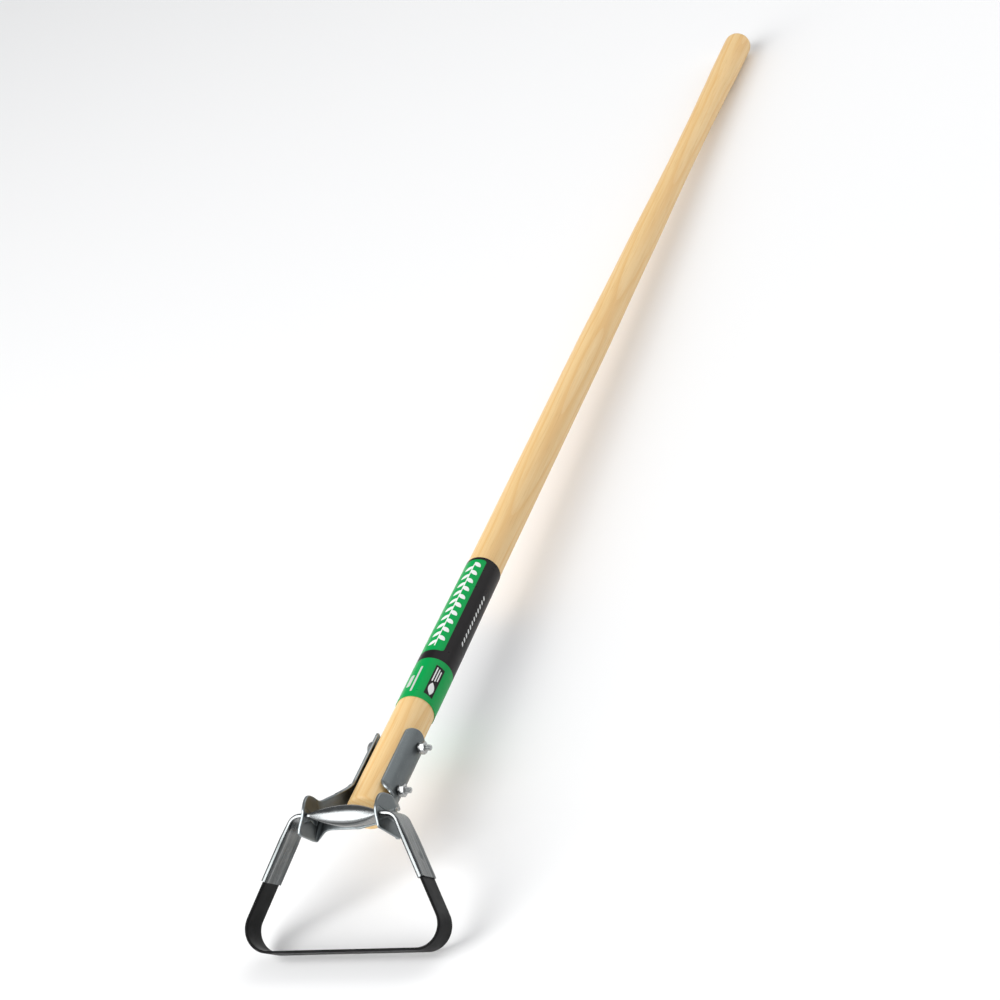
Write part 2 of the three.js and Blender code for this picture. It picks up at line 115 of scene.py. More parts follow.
# What differs between the two brackets, as in the CAD: inner face of the ear, inside radius of the
# strap's trough, the strap's reach above the bolts, the end of its straight upper edge, climb of the web's
# lower edge, height of the ear's bottom front, and the curves that join strap and ear.
BRACKETS = {
    "left": {
        "ear": 28.6, "strap": 17.9, "above": 11.8, "corner": 57.5, "rise": 0, "chin": -15.6,
        "shoulder": ((44, -5.5), (25, -1.8)),
    },
    "right": {
        "ear": 31.1, "strap": 16.7, "above": 14.9, "corner": 50, "rise": 3.4, "chin": -12,
        "shoulder": ((45.5, -6.6), (45, -10.5), (44, -15), (33, -10), (28, -6), (25, -1.8)),
    },
}

BOLT_RADIUS, BOLT_HOLE, BOLT_END = 2.5, 2.9, 29.3
BOLT_PLACES = {"lower": 58, "upper": 112.5}
BOLT_HEAD_RADIUS, BOLT_HEAD_HEIGHT, BOLT_HEAD_BRIM = 6.8, 4.5, 0.6
THREAD_PITCH, THREAD_DEPTH, THREAD_FROM = 0.8, 0.45, 22
POINT_LENGTH = 0.8                        # the bolt's chamfered tip
LOCK_RADIUS, LOCK_THICK = 4.4, 1.3
LOCK_SPREAD, LOCK_EASE = 0.25, 0.15       # how far the split ends stand apart, and the rim's bevel
NUT_ACROSS_FLATS, NUT_HEIGHT, NUT_LEAD_IN = 9.5, 3.4, 0.35
NUT_CHAMFER = math.radians(30)
GAP = 0.3


def lerp(a, b, t):
    return a + (b - a) * t


def smooth(value, start, end):
    t = min(max((value - start) / (end - start), 0), 1)
    return t * t * (3 - 2 * t)


# ---- camera ----
AIM_ALONG = 432.75                        # the handle's centre line at this distance from its lower end
AIM_OFFSET = Vector((-11.2, 0.3, 8.3))    # from there to the point that the camera looks at
VIEW_AZIMUTH, VIEW_ELEVATION, VIEW_ROLL = math.radians(24.825), math.radians(30.82), math.radians(17.715)
VIEW_DISTANCE = 2.8813                    # metres
LENS, SENSOR_WIDTH = 118.8, 36


def make_camera():
    aim = HANDLE_FRAME @ (Vector((0, AIM_ALONG, 0)) * MM) + AIM_OFFSET * MM
    level = math.cos(VIEW_ELEVATION)
    away = Vector((math.sin(VIEW_AZIMUTH) * level, -math.cos(VIEW_AZIMUTH) * level, math.sin(VIEW_ELEVATION)))
    data = bpy.data.cameras.new("view_camera")
    data.lens = LENS
    data.sensor_width = SENSOR_WIDTH
    camera = bpy.data.objects.new("view_camera", data)
    bpy.context.scene.collection.objects.link(camera)
    facing = (-away).to_track_quat("-Z", "Y").to_matrix().to_4x4()
    roll = Matrix.Rotation(-VIEW_ROLL, 4, "Z")
    camera.matrix_world = Matrix.Translation(aim + away * VIEW_DISTANCE) @ facing @ roll
    bpy.context.scene.camera = camera


make_camera()


# ---- material helpers ----
class Finish:
    """A material under construction: one Principled shader and the nodes that feed it."""

    def __init__(self, name, **sockets):
        self.material = bpy.data.materials.new(name)
        self.material.use_nodes = True
        self.tree = self.material.node_tree
        self.shader = self.tree.nodes["Principled BSDF"]
        self.set(**sockets)

    def set(self, **sockets):
        for name, value in sockets.items():
            self.feed(self.shader.inputs[name.replace("_", " ")], value)

    def feed(self, socket, value):
        if isinstance(value, bpy.types.NodeSocket):
            self.tree.links.new(value, socket)
        elif isinstance(value, tuple) and len(value) == 3 and socket.type == "RGBA":
            socket.default_value = (*value, 1)
        else:
            socket.default_value = value

    def node(self, kind, inputs=None, **settings):
        node = self.tree.nodes.new(kind)
        for name, value in settings.items():
            setattr(node, name, value)
        for name, value in (inputs or {}).items():
            self.feed(node.inputs[name], value)
        return node

    def maths(self, operation, *values):
        node = self.node("ShaderNodeMath", dict(enumerate(values)), operation=operation)
        return node.outputs[0]

    def place(self, scale=(1, 1, 1), location=(0, 0, 0)):
        """The piece's own coordinates, in metres, stretched by scale."""
        own = self.node("ShaderNodeTexCoord").outputs["Object"]
        inputs = {"Vector": own, "Scale": scale, "Location": location}
        return self.node("ShaderNodeMapping", inputs).outputs[0]

    def noise(self, scale, detail=4, roughness=0.5, location=(0, 0, 0)):
        """Noise with that many cells to the metre along x, y and z."""
        inputs = {"Vector": self.place(scale, location), "Scale": 1.0, "Detail": detail,
                  "Roughness": roughness}
        return self.node("ShaderNodeTexNoise", inputs).outputs[0]

    def ramp(self, value, *stops):
        node = self.node("ShaderNodeValToRGB", {"Fac": value})
        elements = node.color_ramp.elements
        while len(elements) < len(stops):
            elements.new(0.5)
        for element, (position, colour) in zip(elements, stops):
            element.position = position
            element.color = (*colour, 1)
        return node.outputs[0]

    def levels(self, value, low, high, new_low, new_high):
        inputs = {"Value": value, "From Min": low, "From Max": high, "To Min": new_low, "To Max": new_high}
        return self.node("ShaderNodeMapRange", inputs).outputs[0]

    def mix(self, factor, first, second, blend="MIX"):
        node = self.node("ShaderNodeMix", data_type="RGBA", blend_type=blend)
        self.feed(node.inputs[0], factor)
        self.feed(node.inputs[6], first)
        self.feed(node.inputs[7], second)
        return node.outputs[2]

    def bump(self, height, distance, strength=1.0, under=None):
        inputs = {"Height": height, "Distance": distance, "Strength": strength}
        if under is not None:
            inputs["Normal"] = under
        return self.node("ShaderNodeBump", inputs).outputs[0]


FROM_HEART = (0.052, 0, 0.071)            # from the tree's heart to the handle's centre line, in metres
GRAIN_SLANT = 0.017                       # how far the rings run off sideways along the handle
RING_PITCH = 0.0042                       # metres


def wood_finish():
    """Pale lacquered ash: growth rings cut at a slant, fine pores along the grain."""
    pale, cloudy = (0.89, 0.635, 0.315), (0.80, 0.51, 0.20)
    tan, deep = (0.79, 0.455, 0.15), (0.55, 0.295, 0.08)
    finish = Finish("lacquered_ash", Coat_Weight=0.12, Coat_Roughness=0.3, Specular_IOR_Level=0.3)
    wander = finish.noise((5, 1.4, 5), 2)
    fine_wander = finish.noise((30, 4, 30), 2)
    split = finish.node("ShaderNodeSeparateXYZ", {"Vector": finish.place(location=FROM_HEART)})
    x, y, z = split.outputs
    slanted = finish.maths("MULTIPLY_ADD", y, GRAIN_SLANT, x)
    square = finish.maths("ADD", finish.maths("POWER", slanted, 2.0), finish.maths("POWER", z, 2.0))
    depth = finish.maths("SQRT", square)
    bent = finish.maths("MULTIPLY_ADD", wander, 0.030, depth)
    bent = finish.maths("MULTIPLY_ADD", fine_wander, 0.0016, bent)
    ring = finish.maths("FRACT", finish.maths("MULTIPLY", bent, 1 / RING_PITCH))
    late = finish.ramp(ring, (0.0, (0.55,) * 3), (0.12, (0,) * 3), (0.62, (0.18,) * 3), (0.97, (1,) * 3))
    pores = finish.noise((1500, 26, 1500), 3, 0.6)
    fibres = finish.noise((420, 9, 420), 4, 0.65)
    clouds = finish.noise((22, 3.2, 22), 2)
    colour = finish.mix(finish.levels(late, 0, 1, 0, 0.62), pale, tan)
    colour = finish.mix(finish.levels(fibres, 0.45, 0.75, 0, 0.55), colour, tan)
    colour = finish.mix(finish.levels(pores, 0.56, 0.75, 0, 0.42), colour, deep)
    colour = finish.mix(finish.levels(clouds, 0.4, 0.75, 0, 0.4), colour, cloudy)
    roughness = finish.levels(fibres, 0.3, 0.7, 0.38, 0.55)
    grain = finish.maths("ADD", finish.maths("MULTIPLY", pores, 0.6), late)
    finish.set(Base_Color=colour, Roughness=roughness, Normal=finish.bump(grain, 0.00007, 0.5))
    return finish.material


def zinc_finish():
    """Dark zinc-plated sheet: cloudy plating, faint rolling lines, and a painted highlight that makes the
    rims brighter.
    """
    finish = Finish("plated_sheet", Metallic=1.0)
    clouds = finish.noise((60, 60, 60), 5, 0.6)
    rolled = finish.noise((900, 24, 900), 3, 0.6)
    specks = finish.noise((700, 700, 700), 2)
    colour = finish.mix(clouds, (0.095, 0.108, 0.112), (0.155, 0.172, 0.177))
    colour = finish.mix(finish.levels(specks, 0.6, 0.75, 0, 0.3), colour, (0.24, 0.26, 0.26))
    to_rim = finish.node("ShaderNodeAttribute", attribute_name="to_rim").outputs["Fac"]
    # Painted highlight: the colour turns lighter within about a millimetre of each rim.
    colour = finish.mix(finish.levels(to_rim, 0.1, 0.9, 0.7, 0), colour, (0.33, 0.36, 0.37))
    roughness = finish.maths("ADD", finish.levels(clouds, 0.3, 0.7, 0.34, 0.44),
                             finish.levels(rolled, 0.3, 0.7, -0.03, 0.04))
    height = finish.maths("MULTIPLY_ADD", rolled, 0.35, specks)
    finish.set(Base_Color=colour, Roughness=roughness, Normal=finish.bump(height, 0.00004, 0.35))
    return finish.material


def tube_finish():
    """Bright plated tube, drawn lengthwise, with soft dents from the press; painted shade darkens its
    flattened arms in streaks.
    """
    finish = Finish("bright_tube", Metallic=1.0)
    clouds = finish.noise((45, 45, 45), 3)
    drawn = finish.noise((60, 900, 60), 3, 0.6)
    colour = finish.mix(clouds, (0.165, 0.173, 0.175), (0.235, 0.243, 0.245))
    roughness = finish.maths("ADD", finish.levels(clouds, 0.3, 0.7, 0.22, 0.30),
                             finish.levels(drawn, 0.3, 0.7, -0.02, 0.04))
    height = finish.node("ShaderNodeSeparateXYZ", {"Vector": finish.place()}).outputs[2]
    # Painted shade and painted reflection: the flattened arms below the spindle are darkened in streaks.
    shade_streaks = finish.noise((30, 380, 30), 2, location=(0.3, 0, 0))
    flattened = finish.levels(height, -0.004, -0.020, 0, 1)
    painted_arm_shade = finish.mix(finish.levels(shade_streaks, 0.35, 0.65, 0, 1), (0.42, 0.44, 0.44), (0.82, 0.84, 0.84))
    colour = finish.mix(flattened, colour, painted_arm_shade, "MULTIPLY")
    dents = finish.bump(clouds, 0.0004, 0.25)
    finish.set(Base_Color=colour, Roughness=roughness, Normal=finish.bump(drawn, 0.00003, 0.15, dents))
    return finish.material


def paint_finish():
    """Black paint on the steel strip: slightly uneven gloss, lighter on its edges, partly from thin paint
    there and partly a painted highlight.
    """
    finish = Finish("black_paint", Specular_IOR_Level=0.06)
    peel = finish.noise((900, 900, 900), 2)
    clouds = finish.noise((70, 70, 70), 4)
    wear_and_glint_noise = finish.noise((500, 90, 500), 4, 0.7)
    pointed = finish.node("ShaderNodeNewGeometry").outputs["Pointiness"]
    # Lighter on sharp edges, broken up by noise: partly thin paint, partly a painted highlight.
    edges = finish.maths("MULTIPLY", finish.levels(pointed, 0.53, 0.62, 0, 1), wear_and_glint_noise)
    colour = finish.mix(clouds, (0.0015, 0.0015, 0.002), (0.004, 0.004, 0.004))
    colour = finish.mix(finish.levels(edges, 0.4, 0.7, 0, 0.6), colour, (0.09, 0.09, 0.09))
    roughness = finish.levels(clouds, 0.3, 0.7, 0.34, 0.5)
    finish.set(Base_Color=colour, Roughness=roughness, Normal=finish.bump(peel, 0.00005, 0.4))
    return finish.material


def fastener_finish():
    """Bright zinc on bolts, washers and nuts, a little cloudy."""
    finish = Finish("bright_fastener", Metallic=1.0)
    clouds = finish.noise((400, 400, 400), 4, 0.6)
    colour = finish.mix(clouds, (0.36, 0.37, 0.37), (0.54, 0.55, 0.55))
    roughness = finish.levels(clouds, 0.3, 0.7, 0.3, 0.4)
    finish.set(Base_Color=colour, Roughness=roughness, Normal=finish.bump(clouds, 0.00003, 0.4))
    return finish.material


# ---- the label's print: x round the handle from its top, y along it from its lower end, in millimetres ----
BAND_TO = 183.5                           # the lower green band ends here
BADGE_MIDDLE = 13.6
BLACK_INK, GREEN_INK, WHITE_INK = (0.014, 0.012, 0.013), (0.0, 0.35, 0.075), (0.86, 0.87, 0.86)


class Print(Finish):
    """Flat shapes drawn with distances, each a mask from 0 to 1."""

    def __init__(self, name, **sockets):
        super().__init__(name, **sockets)
        uv = self.node("ShaderNodeUVMap", uv_map="wrap").outputs[0]
        split = self.node("ShaderNodeSeparateXYZ", {"Vector": uv})
        self.x, self.y = split.outputs[0], split.outputs[1]

    def inside(self, distance):
        edge = 0.12
        return self.levels(distance, edge, -edge, 0, 1)

    def panel(self, x, y, half_width, half_height, corner):
        dx = self.maths("SUBTRACT", self.maths("ABSOLUTE", self.maths("SUBTRACT", self.x, x)),
                        half_width - corner)
        dy = self.maths("SUBTRACT", self.maths("ABSOLUTE", self.maths("SUBTRACT", self.y, y)),
                        half_height - corner)
        out_x, out_y = self.maths("MAXIMUM", dx, 0.0), self.maths("MAXIMUM", dy, 0.0)
        outside = self.maths("SQRT", self.maths("ADD", self.maths("MULTIPLY", out_x, out_x),
                                                self.maths("MULTIPLY", out_y, out_y)))
        within = self.maths("MINIMUM", self.maths("MAXIMUM", dx, dy), 0.0)
        return self.inside(self.maths("SUBTRACT", self.maths("ADD", outside, within), corner))

    def slanted(self, x, y, half_width, half_height, slant):
        """A parallelogram whose ends lean."""
        across = self.maths("SUBTRACT", self.x, x)
        along = self.maths("MULTIPLY_ADD", across, slant, self.maths("SUBTRACT", self.y, y))
        dx = self.maths("SUBTRACT", self.maths("ABSOLUTE", across), half_width)
        dy = self.maths("SUBTRACT", self.maths("ABSOLUTE", along), half_height)
        return self.inside(self.maths("MAXIMUM", dx, dy))

    def leaves(self, x, start, pitch, count, length, width, lean):
        """A row of pointed leaves along the label, each the overlap of two circles."""
        middle = start + pitch * count / 2
        offset = self.maths("SUBTRACT", self.y, start)
        local_y = self.maths("SUBTRACT", self.maths("FLOORED_MODULO", offset, pitch), pitch / 2)
        local_x = self.maths("SUBTRACT", self.x, x)
        turned_x = self.maths("ADD", self.maths("MULTIPLY", local_x, math.cos(lean)),
                              self.maths("MULTIPLY", local_y, math.sin(lean)))
        turned_y = self.maths("SUBTRACT", self.maths("MULTIPLY", local_y, math.cos(lean)),
                              self.maths("MULTIPLY", local_x, math.sin(lean)))
        radius = (length ** 2 + width ** 2) / (4 * width)
        side = self.maths("ADD", self.maths("ABSOLUTE", turned_x), radius - width / 2)
        reach = self.maths("SQRT", self.maths("ADD", self.maths("MULTIPLY", side, side),
                                              self.maths("MULTIPLY", turned_y, turned_y)))
        leaf = self.inside(self.maths("SUBTRACT", reach, radius))
        return self.maths("MULTIPLY", leaf, self.panel(x, middle, 2 * length, pitch * count / 2, 0.1))


def print_layers(film):
    """Masks and inks, lowest first: two green panels, a sprig, a badge, a patch and a row. No lettering."""
    yield film.panel(x=0, y=BAND_TO - 50, half_width=400, half_height=50, corner=0.1), GREEN_INK
    yield film.panel(x=-3.25, y=261.2, half_width=12.75, half_height=66.3, corner=3), GREEN_INK
    for side, start in ((-1, 200), (1, 206)):
        lean = 0.75 * side
        yield film.leaves(3.1 * side, start, pitch=12, count=10, length=9.5, width=4.4, lean=lean), WHITE_INK
    yield film.panel(x=0, y=261, half_width=0.5, half_height=60, corner=0.4), WHITE_INK
    yield film.slanted(BADGE_MIDDLE, y=157, half_width=4.3, half_height=19, slant=0.15), BLACK_INK
    yield film.leaves(BADGE_MIDDLE, 139, pitch=16, count=1, length=15, width=5.4, lean=0.12), WHITE_INK
    for across, half_height in ((-2.2, 9), (0.0, 8), (2.0, 6.5)):
        yield film.panel(BADGE_MIDDLE + across, 165, 0.5, half_height, corner=0.4), WHITE_INK
    yield film.panel(x=-1.5, y=155, half_width=0.9, half_height=17, corner=0.8), (0.6, 0.62, 0.6)
    yield film.panel(x=-6.5, y=153, half_width=2.0, half_height=8, corner=1.6), (0.55, 0.62, 0.55)
    yield film.leaves(22, 216, pitch=6, count=12, length=5.2, width=2.1, lean=0.5), (0.75, 0.76, 0.75)


def label_finish():
    """Printed film, faintly creased and smudged."""
    film = Print("printed_film", Specular_IOR_Level=0.08)
    colour = BLACK_INK
    for mask, ink in print_layers(film):
        colour = film.mix(mask, colour, ink)
    creases = film.noise((60, 14, 60), 3)
    smudge = film.noise((120, 120, 120), 4)
    film.set(Base_Color=colour, Roughness=film.levels(smudge, 0.3, 0.7, 0.27, 0.38),
             Normal=film.bump(creases, 0.0006, 0.35))
    return film.material


# ---- mesh helpers ----
SHARP = math.radians(38)


def piece_from(bm, name, matrix, material, body, slot, *nodes):
    """Turns a bmesh in millimetres into a piece in the given frame, in place of those CAD nodes."""
    bmesh.ops.scale(bm, vec=(MM, MM, MM), verts=bm.verts)
    bmesh.ops.recalc_face_normals(bm, faces=bm.faces)
    for face in bm.faces:
        face.smooth = True
    for edge in bm.edges:
        edge.smooth = edge.calc_face_angle(0) < SHARP
    mesh = bpy.data.meshes.new(name)
    bm.to_mesh(mesh)
    bm.free()
    mesh.materials.append(material)
    piece = bpy.data.objects.new(name, mesh)
    bpy.context.scene.collection.objects.link(piece)
    piece.matrix_world = matrix
    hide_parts(*nodes)
    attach(piece, body)


def skin(bm, rings, capped=True, looped=False):
    """Faces between successive closed rings of points."""
    made = [[bm.verts.new(point) for point in ring] for ring in rings]
    pairs = list(zip(made, made[1:]))
    if looped:
        pairs.append((made[-1], made[0]))
    for lower, upper in pairs:
        for i in range(len(lower)):
            j = (i + 1) % len(lower)
            bm.faces.new((lower[i], lower[j], upper[j], upper[i]))
    if capped:
        bm.faces.new(made[0])
        bm.faces.new(made[-1])
    return made


def ring_about_y(radius, along, count):
    turns = (2 * math.pi * i / count for i in range(count))
    return [Vector((radius * math.sin(turn), along, radius * math.cos(turn))) for turn in turns]


# ---- handle ----
def handle_radius(along):
    for (start, start_radius), (end, end_radius) in zip(HANDLE_RADII, HANDLE_RADII[1:]):
        if along <= end:
            return lerp(start_radius, end_radius, smooth(along, start, end))
    return HANDLE_RADII[-1][1]


def make_handle(material):
    around, stations, steps = 96, 150, 12
    end = HANDLE_LENGTH - GRIP_ROUNDING
    foot = handle_radius(0)
    profile = [(foot - inward * HANDLE_CHAMFER, up * HANDLE_CHAMFER) for inward, up in CHAMFER_STEPS]
    for i in range(stations + 1):
        along = lerp(HANDLE_CHAMFER * 1.2, end, i / stations)
        profile.append((handle_radius(along), along))
    flat = handle_radius(end) - GRIP_ROUNDING
    for i in range(1, steps + 1):
        turn = math.pi / 2 * i / steps
        profile.append((flat + GRIP_ROUNDING * math.cos(turn), end + GRIP_ROUNDING * math.sin(turn)))
    bm = bmesh.new()
    skin(bm, [ring_about_y(radius, along, around) for radius, along in profile])
    piece_from(bm, "wood_handle", HANDLE_FRAME, material, "handle_and_yoke", "handle_wood", "handle")


def make_label(material):
    """A closed sleeve of film; its UV map holds millimetres round the handle and along it."""
    around, stations = 96, 40
    outer = []
    for i in range(stations + 1):
        along = lerp(LABEL_FROM, LABEL_TO, i / stations)
        outer.append((handle_radius(along) + LABEL_LIFT + LABEL_FILM, along))
    inner = [(radius - LABEL_FILM, along) for radius, along in reversed(outer)]
    bm = bmesh.new()
    rings = skin(bm, [ring_about_y(radius, along, around) for radius, along in outer + inner],
                 capped=False, looped=True)
    wrap = bm.loops.layers.uv.new("wrap")
    girth = 2 * math.pi * (handle_radius(LABEL_FROM) + LABEL_FILM)
    place = {vert: i for ring in rings for i, vert in enumerate(ring)}
    for face in bm.faces:
        numbers = [place[loop.vert] for loop in face.loops]
        crossing = max(numbers) - min(numbers) > 1
        for loop, number in zip(face.loops, numbers):
            if crossing and number == 0:
                number = around
            turn = number / around
            if turn > 0.5:
                turn -= 1
            loop[wrap].uv = (turn * girth, loop.vert.co.y)
    piece_from(bm, "label_wrap", HANDLE_FRAME, material, "handle_and_yoke", "label_print", "label_film")


# ---- yoke ----
def at_rest(back, up):
    """A point in the stirrup's rest directions, seen from the side as (along the handle, up)."""
    return Vector((back * math.cos(TILT) + up * math.sin(TILT), up * math.cos(TILT) - back * math.sin(TILT)))


def to_rest(point):
    return Vector((point.x * math.cos(TILT) - point.y * math.sin(TILT),
                   point.x * math.sin(TILT) + point.y * math.cos(TILT)))


def curve(start, control, end, steps=8):
    """Points of a quadratic curve, without its first."""
    points = []
    for i in range(1, steps + 1):
        t = i / steps
        points.append(start * (1 - t) ** 2 + control * 2 * t * (1 - t) + end * t * t)
    return points


def arc(centre, radius, start, end, steps=10):
    turns = (lerp(start, end, i / steps) for i in range(steps + 1))
    return [centre + radius * Vector((math.cos(turn), math.sin(turn))) for turn in turns]


FOLD_START = EAR_BACK - SHEET / 2 - FOLD_RADIUS * (1 + math.sin(EAR_TOE))
FOLD_TURN = math.pi / 2 + EAR_TOE
FOLD_LENGTH = FOLD_RADIUS * FOLD_TURN
RELIEF = 2.4                              # width of the notch between the web and the strap
SEAM = 0.04                               # each web stops this far short of the yoke's middle
WEB_CLIMB = (29.4, 23.5)                  # the web's lower edge climbs from the ear's bottom between these x

# Curves of the bracket's outline, as (control, end, steps). The throat joins the web to the strap's lower
# edge, in (along the handle, up). The crown runs over the ear, in (back, up) at rest.
THROAT = (
    ((24, -11), (33, -20), 10),
    ((41, -31), (STRAP_FROM, -STRAP_BELOW - HANDLE_DROP), 12),
)
CROWN = (
    ((15, 13), (10.5, 14.8), 8),
    ((4, EAR_TOP), (-3.5, EAR_TOP), 5),
    ((-14, EAR_TOP), (EAR_FRONT, 4), 10),
)
SLOT_SWING = math.radians(13)
SLOT_HALF, SLOT_WALL = NECK_WIDTH / 2 + 0.8, NECK_THICK / 2 + 0.45    # the neck's section with its play


def ear_middle(side, back, up):
    return side["ear"] + SHEET / 2 + back * math.tan(EAR_TOE) + EAR_SPLAY * smooth(-up, -3, 14)


def web_outline(side):
    """The unfolded web, from the ear's bottom edge round to the notch above it, in rest directions."""
    after_fold = ear_middle(side, FOLD_START, EAR_TOP) - FOLD_RADIUS * math.cos(EAR_TOE)

    def web_flat(x):
        return FOLD_START + FOLD_LENGTH + after_fold - x

    bottom = EAR_BOTTOM - 0.6
    slope_foot = Vector((web_flat(WEB_CLIMB[0]), bottom))
    shoulder = Vector((web_flat(WEB_CLIMB[1]), WEB_BOTTOM + side["rise"]))
    points = [Vector((FOLD_START - 2, bottom)), Vector((FOLD_START + FOLD_LENGTH / 2, bottom))]
    points += curve(slope_foot - Vector((1.5, 0)), slope_foot, slope_foot + Vector((0.8, 1.7)), 4)
    points += curve(lerp(slope_foot, shoulder, 0.75), shoulder, shoulder + Vector((5, 0)), 6)
    points += [Vector((web_flat(2), WEB_BOTTOM)), Vector((web_flat(SEAM), WEB_BOTTOM))]
    points += [Vector((web_flat(SEAM), WEB_TOP))]
    centre = Vector((FOLD_START - 0.6, WEB_TOP + RELIEF / 2))
    points += arc(centre, RELIEF / 2, -math.pi / 2, -1.5 * math.pi, 8)
    points += [Vector((EAR_BACK - 0.4, WEB_TOP + RELIEF))]
    return [at_rest(*point) for point in points]


def bracket_outline(side):
    """The closed outline of the unfolded bracket, as (along the handle, up)."""
    chin = side["chin"]
    strap_top = side["above"] - HANDLE_DROP
    strap_bottom = -STRAP_BELOW - HANDLE_DROP
    points = [at_rest(EAR_FRONT, chin + 3)]
    points += curve(points[-1], at_rest(EAR_FRONT, chin + 0.5), at_rest(EAR_FRONT + 3, chin))
    points += web_outline(side)
    for control, end, steps in THROAT:
        points += curve(points[-1], Vector(control), Vector(end), steps)
    corner_x = STRAP_TO - STRAP_ROUNDING
    points += arc(Vector((corner_x, strap_bottom + STRAP_ROUNDING)), STRAP_ROUNDING, -math.pi / 2, 0, 12)
    points += arc(Vector((corner_x, strap_top - STRAP_ROUNDING)), STRAP_ROUNDING, 0, math.pi / 2, 12)
    points.append(Vector((side["corner"], strap_top)))
    for control, end in zip(side["shoulder"][::2], side["shoulder"][1::2]):
        points += curve(points[-1], Vector(control), Vector(end), 10)
    for control, end, steps in CROWN:
        points += curve(points[-1], at_rest(*control), at_rest(*end), steps)
    return points


def slot_outline():
    """The bow-tie slot: the neck's section swept through its swing."""
    reach = math.hypot(SLOT_HALF, SLOT_WALL)
    corner = SLOT_SWING + math.atan2(SLOT_WALL, SLOT_HALF)
    waist = SLOT_WALL / math.cos(SLOT_SWING)
    points = []
    for side in (0, math.pi):
        for i in range(9):
            turn = side + lerp(-corner, corner, i / 8)
            points.append(at_rest(reach * math.cos(turn), reach * math.sin(turn)))
        turn = side + math.pi / 2
        points.append(at_rest(waist * math.cos(turn), waist * math.sin(turn)))
    return points


def bolt_hole_outline(place, square):
    centre = Vector((place, -HANDLE_DROP))
    if square:
        corners = ((-1, -1), (1, -1), (1, 1), (-1, 1))
        return [centre + BOLT_HOLE * Vector(corner) for corner in corners]
    return arc(centre, BOLT_HOLE, 0, 2 * math.pi, 20)[:-1]


def spaced(outline, step):
    """The closed outline with no side longer than step."""
    points = []
    for start, end in zip(outline, outline[1:] + outline[:1]):
        parts = max(1, math.ceil((end - start).length / step))
        points += [lerp(start, end, i / parts) for i in range(parts)]
    return points


GRID_STEP = 1.7                           # spacing of the points in the strap and the ear
GRID_LOW, GRID_HIGH = (-32.0, -37.0), (130, 28)
ROW_HEIGHT = 0.866 * GRID_STEP            # rows of equilateral triangles
FOLD_STEP, WEB_STEP = 1.3, 1.5


def grid_points():
    """Points over the bracket's side view, closer together across the fold and over the web."""
    points = []
    row = 0
    up = GRID_LOW[1]
    while up < GRID_HIGH[1]:
        along = GRID_LOW[0] + (row % 2) * GRID_STEP / 2
        while along < GRID_HIGH[0]:
            rest = to_rest(Vector((along, up)))
            if rest.x < FOLD_START - 0.5 or rest.y > WEB_TOP + RELIEF:
                points.append(Vector((along, up)))
            along += GRID_STEP
        up += ROW_HEIGHT
        row += 1
    for i in range(11):
        back = FOLD_START + FOLD_LENGTH * i / 10
        points += [at_rest(back, EAR_BOTTOM + FOLD_STEP * j) for j in range(17)]
    for i in range(1, 19):
        back = FOLD_START + FOLD_LENGTH + WEB_STEP * i
        points += [at_rest(back, EAR_BOTTOM + WEB_STEP * j) for j in range(15)]
    return points


TROUGH_REACH = 0.93                       # share of the trough's radius over which the strap curls
WEB_STRAIGHT = 18                         # the web loses the ears' splay over this length behind the fold


def bent(side, point):
    """Where the middle of the sheet goes when the flat pattern is pressed to shape."""
    rest = to_rest(point)
    if rest.x > FOLD_START and rest.y < WEB_TOP + 0.5 * RELIEF:
        return folded(side, rest)
    radius = side["strap"] + SHEET / 2
    rim = TROUGH_REACH * radius
    across = min(max(point.y + HANDLE_DROP, -rim), rim)
    trough = math.sqrt(radius * radius - across * across)
    even = min(max((point.x - FLARE_FROM) / (STRAP_FROM - FLARE_FROM), 0), 1)
    flare = (even + smooth(point.x, FLARE_FROM, STRAP_FROM)) / 2
    x = lerp(ear_middle(side, rest.x, rest.y), trough, flare)
    return Vector((x, point.x, point.y))


def folded(side, rest):
    """Where the fold and the web behind it go."""
    length = rest.x - FOLD_START
    heading = EAR_TOE - min(length, FOLD_LENGTH) / FOLD_RADIUS
    unsplayed = ear_middle(side, FOLD_START, EAR_TOP)
    splay = ear_middle(side, FOLD_START, rest.y) - unsplayed
    x = unsplayed + splay * (1 - smooth(length, FOLD_LENGTH, FOLD_LENGTH + WEB_STRAIGHT))
    x += FOLD_RADIUS * (math.cos(heading) - math.cos(EAR_TOE))
    back = FOLD_START + FOLD_RADIUS * (math.sin(EAR_TOE) - math.sin(heading))
    x -= max(length - FOLD_LENGTH, 0)
    seen = at_rest(back, rest.y)
    return Vector((x, seen.x, seen.y))


def inset(outline, distance, sheet_inside):
    """A point beside each point of the closed outline, that far into the sheet."""
    area = sum(a.x * b.y - b.x * a.y for a, b in zip(outline, outline[1:] + outline[:1]))
    turn = math.copysign(distance, area if sheet_inside else -area)
    points = []
    for before, here, after in zip(outline[-1:] + outline[:-1], outline, outline[1:] + outline[:1]):
        way = (after - before).normalized()
        points.append(here + turn * Vector((-way.y, way.x)))
    return points


OUTLINE_STEP = 1.0
RIM_HALF = 0.65                           # half the sheet's thickness at its very rim
RIM_ROWS = ((0.15, 0.93), (0.35, 1.08), (0.6, SHEET / 2))    # (distance from the rim, half thickness)
RIM_MARGIN = 1.3                          # the grid's points keep this far from the rim


